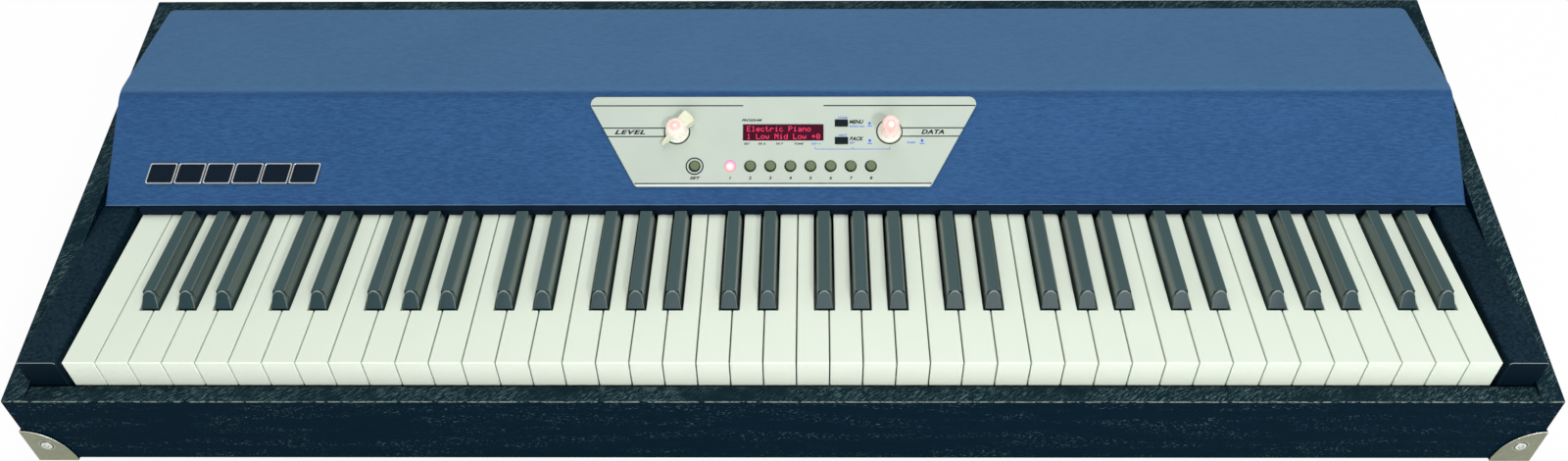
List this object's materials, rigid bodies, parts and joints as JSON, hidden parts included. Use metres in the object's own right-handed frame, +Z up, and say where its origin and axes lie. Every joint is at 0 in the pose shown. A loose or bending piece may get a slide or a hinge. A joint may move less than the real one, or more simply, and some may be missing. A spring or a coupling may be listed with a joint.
{
  "type": "stage electric piano",
  "caption": "Slab stage electric piano: covered wooden case, sprung keys, sloped control panel with knobs and push buttons, rear sockets.",
  "frame": {"origin": "centre of the footprint on the surface the feet stand on", "axes": "+X to the player's right along the keys, +Y to the back, +Z up"},
  "size_m": [1.103, 0.383, 0.1639],
  "materials": {
    "black_tolex": "coarse black grained vinyl cloth glued over plywood",
    "blue_vinyl": "fine grained blue vinyl over a bent plywood sheet",
    "black_vinyl": "fine grained black vinyl over hardwood",
    "strip_black": "black felted strip",
    "ivory_plastic": "off-white keytop plastic",
    "ebony_plastic": "satin dark slate keytop plastic",
    "panel_silver": "satin silver-grey lacquered plate with fine printing",
    "display_glass": "dark red window over a lit dot matrix",
    "frosted_knob": "frosted translucent plastic lit from below",
    "olive_button": "translucent olive-grey cap, unlit",
    "lit_button": "translucent cap lit pink-red from behind",
    "black_button": "black moulded cap",
    "circuit_board": "green glass-fibre board",
    "badge_chrome": "chromed rims round black enamelled fields",
    "nickel": "nickel-plated pressed steel",
    "rubber": "black rubber",
    "frame_steel": "zinc-plated folded sheet",
    "connector_black": "black moulded connector plastic"
  },
  "bodies": {
    "case": {"bottom_board": "black_tolex", "front_rail": "black_tolex", "left_side_wall": "black_tolex", "right_side_wall": "black_tolex", "rear_panel": "black_tolex", "corner_protector_front_left": "nickel", "foot_front_left": "rubber", "corner_protector_front_right": "nickel", "foot_front_right": "rubber", "corner_protector_rear_left": "nickel", "foot_rear_left": "rubber", "corner_protector_rear_right": "nickel", "foot_rear_right": "rubber", "keybed_frame": "frame_steel", "left_cheek_block": "black_vinyl", "right_cheek_block": "black_vinyl", "fallboard_strip": "strip_black", "top_cover": "blue_vinyl", "control_panel_plate": "panel_silver", "display_module": "display_glass", "control_board": "circuit_board", "badge_plate": "badge_chrome", "rear_connector_panel": "frame_steel", "main_board": "circuit_board", "power_inlet": "connector_black"},
    "naturals_E1_to_B2": {"naturals_E1_to_B2": "ivory_plastic"},
    "sharps_E1_to_B2": {"sharps_E1_to_B2": "ebony_plastic"},
    "naturals_C3_to_B3": {"naturals_C3_to_B3": "ivory_plastic"},
    "sharps_C3_to_B3": {"sharps_C3_to_B3": "ebony_plastic"},
    "key_C4": {"key_C4": "ivory_plastic"},
    "key_C_sharp4": {"key_C_sharp4": "ebony_plastic"},
    "key_D4": {"key_D4": "ivory_plastic"},
    "key_D_sharp4": {"key_D_sharp4": "ebony_plastic"},
    "key_E4": {"key_E4": "ivory_plastic"},
    "key_F4": {"key_F4": "ivory_plastic"},
    "key_F_sharp4": {"key_F_sharp4": "ebony_plastic"},
    "key_G4": {"key_G4": "ivory_plastic"},
    "key_G_sharp4": {"key_G_sharp4": "ebony_plastic"},
    "key_A4": {"key_A4": "ivory_plastic"},
    "key_A_sharp4": {"key_A_sharp4": "ebony_plastic"},
    "key_B4": {"key_B4": "ivory_plastic"},
    "naturals_C5_to_B5": {"naturals_C5_to_B5": "ivory_plastic"},
    "sharps_C5_to_B5": {"sharps_C5_to_B5": "ebony_plastic"},
    "naturals_C6_to_E7": {"naturals_C6_to_E7": "ivory_plastic"},
    "sharps_C6_to_E7": {"sharps_C6_to_E7": "ebony_plastic"},
    "bank_button": {"bank_button": "olive_button"},
    "patch_button_1": {"patch_button_1": "lit_button"},
    "patch_button_2": {"patch_button_2": "olive_button"},
    "patch_button_3": {"patch_button_3": "olive_button"},
    "patch_button_4": {"patch_button_4": "olive_button"},
    "patch_button_5": {"patch_button_5": "olive_button"},
    "patch_button_6": {"patch_button_6": "olive_button"},
    "patch_button_7": {"patch_button_7": "olive_button"},
    "patch_button_8": {"patch_button_8": "olive_button"},
    "menu_button": {"menu_button": "black_button"},
    "back_button": {"back_button": "black_button"},
    "volume_knob": {"volume_knob": "frosted_knob"},
    "value_plunger": {"value_push_plunger": "frame_steel"},
    "value_knob": {"value_knob": "frosted_knob"},
    "power_rocker": {"power_rocker": "connector_black"}
  },
  "joints": [
    {"name": "naturals_E1_to_B2_press", "type": "hinge", "parent": "case", "child": "naturals_E1_to_B2", "pos_m": [0, 0.0435, 0.085], "axis": [1, 0, 0], "range_deg": [0, 2.63], "stiffness_Nm_per_rad": 14.4, "springref_deg": -14.32},
    {"name": "sharps_E1_to_B2_press", "type": "hinge", "parent": "case", "child": "sharps_E1_to_B2", "pos_m": [0, 0.0285, 0.085], "axis": [1, 0, 0], "range_deg": [0, 3.2], "stiffness_Nm_per_rad": 9.6, "springref_deg": -14.32},
    {"name": "naturals_C3_to_B3_press", "type": "hinge", "parent": "case", "child": "naturals_C3_to_B3", "pos_m": [0, 0.0435, 0.085], "axis": [1, 0, 0], "range_deg": [0, 2.63], "stiffness_Nm_per_rad": 8.4, "springref_deg": -14.32},
    {"name": "sharps_C3_to_B3_press", "type": "hinge", "parent": "case", "child": "sharps_C3_to_B3", "pos_m": [0, 0.0285, 0.085], "axis": [1, 0, 0], "range_deg": [0, 3.2], "stiffness_Nm_per_rad": 6, "springref_deg": -14.32},
    {"name": "key_C4_press", "type": "hinge", "parent": "case", "child": "key_C4", "pos_m": [0, 0.0435, 0.085], "axis": [1, 0, 0], "range_deg": [0, 2.63], "stiffness_Nm_per_rad": 1.2, "springref_deg": -14.32},
    {"name": "key_C_sharp4_press", "type": "hinge", "parent": "case", "child": "key_C_sharp4", "pos_m": [0, 0.0285, 0.085], "axis": [1, 0, 0], "range_deg": [0, 3.2], "stiffness_Nm_per_rad": 1.2, "springref_deg": -14.32},
    {"name": "key_D4_press", "type": "hinge", "parent": "case", "child": "key_D4", "pos_m": [0, 0.0435, 0.085], "axis": [1, 0, 0], "range_deg": [0, 2.63], "stiffness_Nm_per_rad": 1.2, "springref_deg": -14.32},
    {"name": "key_D_sharp4_press", "type": "hinge", "parent": "case", "child": "key_D_sharp4", "pos_m": [0, 0.0285, 0.085], "axis": [1, 0, 0], "range_deg": [0, 3.2], "stiffness_Nm_per_rad": 1.2, "springref_deg": -14.32},
    {"name": "key_E4_press", "type": "hinge", "parent": "case", "child": "key_E4", "pos_m": [0, 0.0435, 0.085], "axis": [1, 0, 0], "range_deg": [0, 2.63], "stiffness_Nm_per_rad": 1.2, "springref_deg": -14.32},
    {"name": "key_F4_press", "type": "hinge", "parent": "case", "child": "key_F4", "pos_m": [0, 0.0435, 0.085], "axis": [1, 0, 0], "range_deg": [0, 2.63], "stiffness_Nm_per_rad": 1.2, "springref_deg": -14.32},
    {"name": "key_F_sharp4_press", "type": "hinge", "parent": "case", "child": "key_F_sharp4", "pos_m": [0, 0.0285, 0.085], "axis": [1, 0, 0], "range_deg": [0, 3.2], "stiffness_Nm_per_rad": 1.2, "springref_deg": -14.32},
    {"name": "key_G4_press", "type": "hinge", "parent": "case", "child": "key_G4", "pos_m": [0, 0.0435, 0.085], "axis": [1, 0, 0], "range_deg": [0, 2.63], "stiffness_Nm_per_rad": 1.2, "springref_deg": -14.32},
    {"name": "key_G_sharp4_press", "type": "hinge", "parent": "case", "child": "key_G_sharp4", "pos_m": [0, 0.0285, 0.085], "axis": [1, 0, 0], "range_deg": [0, 3.2], "stiffness_Nm_per_rad": 1.2, "springref_deg": -14.32},
    {"name": "key_A4_press", "type": "hinge", "parent": "case", "child": "key_A4", "pos_m": [0, 0.0435, 0.085], "axis": [1, 0, 0], "range_deg": [0, 2.63], "stiffness_Nm_per_rad": 1.2, "springref_deg": -14.32},
    {"name": "key_A_sharp4_press", "type": "hinge", "parent": "case", "child": "key_A_sharp4", "pos_m": [0, 0.0285, 0.085], "axis": [1, 0, 0], "range_deg": [0, 3.2], "stiffness_Nm_per_rad": 1.2, "springref_deg": -14.32},
    {"name": "key_B4_press", "type": "hinge", "parent": "case", "child": "key_B4", "pos_m": [0, 0.0435, 0.085], "axis": [1, 0, 0], "range_deg": [0, 2.63], "stiffness_Nm_per_rad": 1.2, "springref_deg": -14.32},
    {"name": "naturals_C5_to_B5_press", "type": "hinge", "parent": "case", "child": "naturals_C5_to_B5", "pos_m": [0, 0.0435, 0.085], "axis": [1, 0, 0], "range_deg": [0, 2.63], "stiffness_Nm_per_rad": 8.4, "springref_deg": -14.32},
    {"name": "sharps_C5_to_B5_press", "type": "hinge", "parent": "case", "child": "sharps_C5_to_B5", "pos_m": [0, 0.0285, 0.085], "axis": [1, 0, 0], "range_deg": [0, 3.2], "stiffness_Nm_per_rad": 6, "springref_deg": -14.32},
    {"name": "naturals_C6_to_E7_press", "type": "hinge", "parent": "case", "child": "naturals_C6_to_E7", "pos_m": [0, 0.0435, 0.085], "axis": [1, 0, 0], "range_deg": [0, 2.63], "stiffness_Nm_per_rad": 12, "springref_deg": -14.32},
    {"name": "sharps_C6_to_E7_press", "type": "hinge", "parent": "case", "child": "sharps_C6_to_E7", "pos_m": [0, 0.0285, 0.085], "axis": [1, 0, 0], "range_deg": [0, 3.2], "stiffness_Nm_per_rad": 8.4, "springref_deg": -14.32},
    {"name": "bank_button_press", "type": "slide", "parent": "case", "child": "bank_button", "axis": [0, 0.5388, -0.8425], "range_m": [0, 0.0008], "stiffness_N_per_m": 1500, "springref_m": -0.0004},
    {"name": "patch_button_1_press", "type": "slide", "parent": "case", "child": "patch_button_1", "axis": [0, 0.5388, -0.8425], "range_m": [0, 0.0008], "stiffness_N_per_m": 1500, "springref_m": -0.0004},
    {"name": "patch_button_2_press", "type": "slide", "parent": "case", "child": "patch_button_2", "axis": [0, 0.5388, -0.8425], "range_m": [0, 0.0008], "stiffness_N_per_m": 1500, "springref_m": -0.0004},
    {"name": "patch_button_3_press", "type": "slide", "parent": "case", "child": "patch_button_3", "axis": [0, 0.5388, -0.8425], "range_m": [0, 0.0008], "stiffness_N_per_m": 1500, "springref_m": -0.0004},
    {"name": "patch_button_4_press", "type": "slide", "parent": "case", "child": "patch_button_4", "axis": [0, 0.5388, -0.8425], "range_m": [0, 0.0008], "stiffness_N_per_m": 1500, "springref_m": -0.0004},
    {"name": "patch_button_5_press", "type": "slide", "parent": "case", "child": "patch_button_5", "axis": [0, 0.5388, -0.8425], "range_m": [0, 0.0008], "stiffness_N_per_m": 1500, "springref_m": -0.0004},
    {"name": "patch_button_6_press", "type": "slide", "parent": "case", "child": "patch_button_6", "axis": [0, 0.5388, -0.8425], "range_m": [0, 0.0008], "stiffness_N_per_m": 1500, "springref_m": -0.0004},
    {"name": "patch_button_7_press", "type": "slide", "parent": "case", "child": "patch_button_7", "axis": [0, 0.5388, -0.8425], "range_m": [0, 0.0008], "stiffness_N_per_m": 1500, "springref_m": -0.0004},
    {"name": "patch_button_8_press", "type": "slide", "parent": "case", "child": "patch_button_8", "axis": [0, 0.5388, -0.8425], "range_m": [0, 0.0008], "stiffness_N_per_m": 1500, "springref_m": -0.0004},
    {"name": "menu_button_press", "type": "slide", "parent": "case", "child": "menu_button", "axis": [0, 0.5388, -0.8425], "range_m": [0, 0.0008], "stiffness_N_per_m": 1500, "springref_m": -0.0004},
    {"name": "back_button_press", "type": "slide", "parent": "case", "child": "back_button", "axis": [0, 0.5388, -0.8425], "range_m": [0, 0.0008], "stiffness_N_per_m": 1500, "springref_m": -0.0004},
    {"name": "volume_turn", "type": "hinge", "parent": "case", "child": "volume_knob", "pos_m": [-0.0842, 0.03046, 0.13895], "axis": [0, 0.5388, -0.8425], "range_deg": [0, 270]},
    {"name": "value_push", "type": "slide", "parent": "case", "child": "value_plunger", "axis": [0, 0.5388, -0.8425], "range_m": [0, 0.0007], "stiffness_N_per_m": 2500, "springref_m": -0.0006},
    {"name": "value_turn", "type": "hinge", "parent": "value_plunger", "child": "value_knob", "pos_m": [0.0842, 0.03046, 0.13895], "axis": [0, 0.5388, -0.8425], "continuous": true},
    {"name": "power_rocker_tip", "type": "hinge", "parent": "case", "child": "power_rocker", "pos_m": [-0.4369, 0.174, 0.0624], "axis": [0, 0, -1], "range_deg": [0, 16]}
  ]
}
